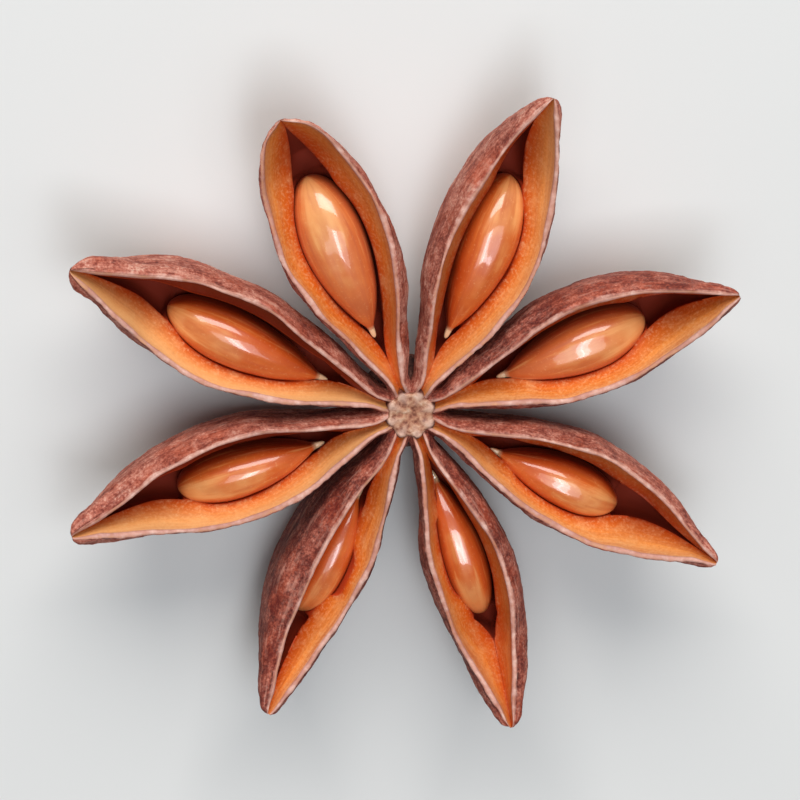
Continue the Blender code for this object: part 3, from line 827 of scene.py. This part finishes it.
def lining_colour(g, deep, streaks):
    """Orange, palest by the lip, streaked and gritty, with painted shade on a northern wall and deep in the
    beak's valley, and darker towards and down in the pocket, partly in painted shade.
    """
    tone_and_painted_light, painted_north_shade = g.attribute("tone_and_painted_light"), g.attribute("painted_north_shade")
    # Redder and darker towards the pocket's mouth: partly the lining's own colour, partly painted shade.
    colour = g.ramp(
        deep,
        (0.0, srgb(230, 172, 130)),
        (0.18, srgb(242, 166, 100)),
        (0.45, srgb(240, 146, 64)),
        (0.80, srgb(220, 102, 26)),
        (1.0, srgb(180, 60, 18)),
    )
    colour = g.mix(g.range(streaks, 0.35, 0.70, 0.0, 0.55), colour, srgb(184, 66, 12))
    colour = g.mix(g.range(g.noise(0.9 * MM), 0.50, 0.72, 0.0, 0.35), colour, srgb(238, 172, 112))
    grit = g.noise(0.17 * MM, 3.0, 0.65)
    colour = g.mix(g.range(grit, 0.50, 0.72, 0.0, 0.34), colour, srgb(246, 200, 150))
    colour = g.mix(g.range(grit, 0.48, 0.30, 0.0, 0.34), colour, srgb(186, 70, 16))

    # The carpel's tone makes the lining paler or darker; the paleness is partly painted light on a lit band.
    paler = g.times(g.range(tone_and_painted_light, 0.0, 1.0), g.range(deep, 0.90, 0.30))
    colour = g.mix(paler, colour, srgb(250, 190, 126))
    colour = g.mix(g.range(tone_and_painted_light, 0.0, -1.0), colour, srgb(150, 54, 16))

    # Painted shade deep in the beak's valley beyond the seed.
    painted_beak_shade = g.range(g.plus(deep, g.times(streaks, 0.4)), 0.70, 1.30, 0.0, 0.4)
    colour = g.mix(g.times(g.attribute("beak"), painted_beak_shade), colour, srgb(176, 50, 14))

    # Painted shade on the lining of a carpel's northern wall, darkest down towards the pocket.
    shaded = g.range(g.plus(deep, g.times(streaks, 0.25)), 0.15, 0.35, 0.60, 0.95)
    shade = g.ramp(deep, (0.10, srgb(152, 84, 62)), (0.45, srgb(120, 44, 24)), (1.0, srgb(120, 32, 14)))
    colour = g.mix(g.times(painted_north_shade, shaded), colour, shade)

    # Darker further down the pocket: the chamber's own red-brown, deepened by painted shade.
    below = g.minus(deep, 1.0)
    pocket = g.ramp(below, (0.0, srgb(198, 70, 26)), (0.25, srgb(168, 54, 20)), (0.7, srgb(126, 36, 14)))
    return g.mix(g.range(deep, 0.96, 1.02), colour, pocket)


def husk_material():
    """Wrinkled skin, torn lips and a satin lining, told apart by the attributes skin, lip and deep."""
    g = Graph("husk")
    skin, lip, deep, along, tint = (g.attribute(name) for name in ("skin", "lip", "deep", "along", "tint"))
    mottle = g.noise(0.9 * MM, 5.0, 0.65)
    fine = g.noise(0.15 * MM, 3.0, 0.6)
    torn = g.noise(0.45 * MM, 3.0, 0.6)
    rubbed = g.noise(2.2 * MM, 2.0)
    streaks = g.streaks(along, 3.0, deep, 9.0, tint, 0.6)

    # The torn lip's colour holds raggedly, and less where it is rubbed or turns to the outside.
    ragged = g.plus(lip, g.times(g.minus(torn, 0.5), 0.5))
    ragged = g.minus(ragged, g.range(rubbed, 0.55, 0.38, 0.0, 0.22))
    ragged = g.minus(ragged, g.times(skin, 0.35))
    on_lip = g.range(ragged, 0.50, 0.90)
    on_skin = g.range(skin, 0.3, 0.6)
    outside = skin_colour(g, along, deep, tint, mottle, fine)
    colour = g.mix(on_skin, lining_colour(g, deep, streaks), outside)
    colour = g.mix(on_lip, colour, edge_colour(g, torn, rubbed))

    # The lining is satin, its streaks a little rougher, and the rest is matt.
    roughness = g.plus(g.times(on_skin, 0.34), g.times(on_lip, 0.25))
    roughness = g.plus(roughness, g.range(deep, 0.95, 1.1, 0.0, 0.4))
    roughness = g.clamp(g.plus(roughness, g.range(streaks, 0.3, 0.7, 0.36, 0.48)))
    grainy = g.clamp(g.minus(on_skin, g.times(on_lip, 0.6)))
    height = g.times(g.plus(g.noise(0.22 * MM, 4.0, 0.7), g.times(fine, 0.5)), grainy)
    height = g.plus(height, g.times(streaks, 0.12))
    g.shader.inputs["Specular IOR Level"].default_value = 0.28
    return g.finish(Base_Color=colour, Roughness=roughness, Normal=g.bump(height, 0.07 * MM, 0.9))


def column_material():
    """A pale, grainy disc with paler scallops at its edge, and the brown waist and receptacle below."""
    g = Graph("column")
    disc, relief, lobe, reach = (g.attribute(name) for name in ("disc", "relief", "lobe", "reach"))
    grain = g.noise(0.30 * MM, 4.0, 0.65)
    pale = g.ramp(
        g.plus(grain, g.times(relief, 0.25)),
        (0.28, srgb(110, 56, 38)),
        (0.45, srgb(160, 104, 78)),
        (0.62, srgb(186, 136, 106)),
        (0.80, srgb(212, 176, 150)),
    )
    brown = g.ramp(
        g.plus(grain, g.times(relief, 0.3)),
        (0.30, srgb(60, 28, 22)),
        (0.55, srgb(112, 66, 54)),
        (0.80, srgb(156, 108, 90)),
    )
    scallop = g.range(g.plus(lobe, g.times(grain, 2.0)), 0.9, 1.9, 0.0, 0.6)
    pale = g.mix(g.times(g.range(reach, 0.35, 0.90), scallop), pale, srgb(226, 190, 172))
    colour = g.mix(disc, brown, pale)
    return g.finish(Base_Color=colour, Roughness=0.78, Normal=g.bump(grain, 0.08 * MM, 0.9))


def seed_material():
    """A hard polished coat: tan at the outer end and redder inwards, with painted shade down the sides and a
    paler top that is partly painted sheen, and fine streaks.
    """
    g = Graph("seed")
    crown, along, tint, tone_and_painted_light = (g.attribute(name) for name in ("crown", "along", "tint", "tone_and_painted_light"))
    streaks = g.streaks(along, 1.6, crown, 7.0, tint, 0.6)
    cloud = g.noise(1.6 * MM, 2.0)
    # Painted shade darkens the sides, where crown is low, and the top is painted paler as sheen; along makes
    # the outer end tan.
    level = g.plus(g.times(crown, 0.62), g.times(along, 0.36))
    level = g.plus(level, g.times(g.minus(cloud, 0.5), 0.45))
    colour = g.ramp(
        level,
        (0.14, srgb(132, 36, 8)),
        (0.48, srgb(189, 69, 17)),
        (0.74, srgb(210, 101, 38)),
        (0.98, srgb(229, 156, 92)),
    )
    colour = g.mix(g.range(streaks, 0.46, 0.66, 0.0, 0.75), colour, srgb(186, 74, 28))
    colour = g.mix(g.range(streaks, 0.46, 0.34, 0.0, 0.5), colour, srgb(238, 168, 104))
    grains = g.noise(0.16 * MM, 2.0, 0.6)
    colour = g.mix(g.range(grains, 0.60, 0.75, 0.0, 0.25), colour, srgb(240, 180, 122))
    # The seed's tone makes it paler or darker; the paleness is partly a painted sheen.
    colour = g.mix(g.range(tone_and_painted_light, 0.0, 1.0), colour, srgb(242, 192, 136))
    colour = g.mix(g.range(tone_and_painted_light, 0.0, -1.0), colour, srgb(160, 54, 12))
    stub = g.range(along, 0.03, 0.0)
    colour = g.mix(stub, colour, srgb(224, 184, 142))
    g.shader.inputs["Coat Weight"].default_value = 0.8
    g.shader.inputs["Coat Roughness"].default_value = 0.06
    g.shader.inputs["Coat IOR"].default_value = 1.6
    roughness = g.range(streaks, 0.3, 0.7, 0.28, 0.40)
    return g.finish(Base_Color=colour, Roughness=roughness, Normal=g.bump(streaks, 0.02 * MM, 0.5))


def floor_material():
    g = Graph("floor")
    shade = g.mix(g.noise(50 * MM, 2.0), srgb(214, 213, 210), srgb(218, 216, 213))
    return g.finish(Base_Color=shade, Roughness=0.6)


# ---------------------------------------------------------------- stage
CAMERA_NORTH, CAMERA_WEST = math.radians(14.5), math.radians(4.0)  # how far it leans from straight above
CAMERA_DISTANCE = 0.40
FIELD = 0.042  # what the picture takes in at that distance
FLOOR_SIDE, FLOOR_DROP = 4.0, 0.02 * MM

# Area lights: direction from the pod, distance, sides, watts and colour. The panes shine in the seeds.
Lamp = namedtuple("Lamp", "name towards distance sides watts colour")
LAMPS = (
    Lamp("key", (-0.03, 1.0, 0.82), 0.50, (0.42, 0.30), 2.45, (1.0, 0.99, 0.97)),
    Lamp("pane_west", (0.005, -0.05, 1.0), 0.50, (0.070, 0.26), 0.38, (0.84, 0.92, 1.0)),
    Lamp("pane_east", (0.110, -0.05, 1.0), 0.50, (0.070, 0.26), 0.38, (0.84, 0.92, 1.0)),
    Lamp("glow", (0.055, -0.05, 1.0), 0.55, (0.44, 0.30), 0.90, (0.92, 0.96, 1.0)),
)
SKY, SKY_STRENGTH = (0.93, 0.96, 1.0, 1.0), 0.10


def aim(name, data, towards, distance, target):
    """A camera or a light at a distance in the direction towards, looking back, with +Y up the picture."""
    towards = Vector(towards).normalized()
    right = Vector((0, 1, 0)).cross(towards).normalized()
    turned = Matrix((right, towards.cross(right), towards)).transposed()
    thing = bpy.data.objects.new(name, data)
    thing.matrix_world = Matrix.Translation(target + towards * distance) @ turned.to_4x4()
    bpy.context.scene.collection.objects.link(thing)
    return thing


def set_camera(target):
    data = bpy.data.cameras.new("camera")
    data.sensor_width = 36.0
    data.lens = data.sensor_width * CAMERA_DISTANCE / FIELD
    data.clip_start, data.clip_end = 0.01, 10.0
    towards = (
        -math.sin(CAMERA_WEST),
        math.sin(CAMERA_NORTH) * math.cos(CAMERA_WEST),
        math.cos(CAMERA_NORTH) * math.cos(CAMERA_WEST),
    )
    bpy.context.scene.camera = aim("camera", data, towards, CAMERA_DISTANCE, target)


def set_lights(target):
    for lamp in LAMPS:
        data = bpy.data.lights.new(lamp.name, "AREA")
        data.shape = "RECTANGLE"
        data.size, data.size_y = lamp.sides
        data.energy = lamp.watts
        data.color = lamp.colour
        aim(lamp.name, data, lamp.towards, lamp.distance, target)

    world = bpy.data.worlds.new("studio")
    world.use_nodes = True
    background = world.node_tree.nodes["Background"]
    background.inputs["Color"].default_value = SKY
    background.inputs["Strength"].default_value = SKY_STRENGTH
    bpy.context.scene.world = world
    bpy.context.scene.view_settings.view_transform = "Standard"


def set_floor():
    corners = np.array([(-1, -1, 0), (1, -1, 0), (1, 1, 0), (-1, 1, 0)]) * FLOOR_SIDE / 2
    floor = mesh_object("floor", corners, [(0, 1, 2, 3)], floor_material(), {})
    floor.location.z = -FLOOR_DROP


def frame_shift():
    """What is added to a place in the part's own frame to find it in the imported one.

    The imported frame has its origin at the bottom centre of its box. The solid of one seed, whose place is
    known in both, shows the difference.
    """
    carpel = CARPELS[0]
    steps = np.arange(SOLID_SEED_STEPS) / SOLID_SEED_STEPS
    share = 0.5 - 0.5 * np.cos(math.pi * (steps + 0.5 / SOLID_SEED_STEPS))
    out = carpel.seed_in * MM + (carpel.seed_out - carpel.seed_in) * MM * share
    turn = 2 * math.pi * steps
    girth = seed_share(share, SEED_TAPER)[:, None]
    side = (carpel.seed_side + carpel.seed_wide / 2 * girth * np.cos(turn)) * MM
    up = SEED_TALL / 2 * girth * np.sin(turn) - seed_middle(carpel)
    points = place(carpel, np.broadcast_to(out[:, None], side.shape), side, up).reshape(-1, 3)
    low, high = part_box("seed_1")
    return (np.array(low) + np.array(high) - points.min(axis=0) - points.max(axis=0)) / 2


def main():
    shift = frame_shift()
    husk, seed = husk_material(), seed_material()
    column_piece(shift, column_material())
    for number, (carpel, tone) in enumerate(zip(CARPELS, TONES), 1):
        carpel_piece(number, carpel, tone, shift, husk)
        seed_piece(number, carpel, tone, shift, seed)

    lowest, highest = cad_box
    middle = (Vector(lowest) + Vector(highest)) / 2
    set_camera(middle)
    set_lights(middle)
    set_floor()


main()
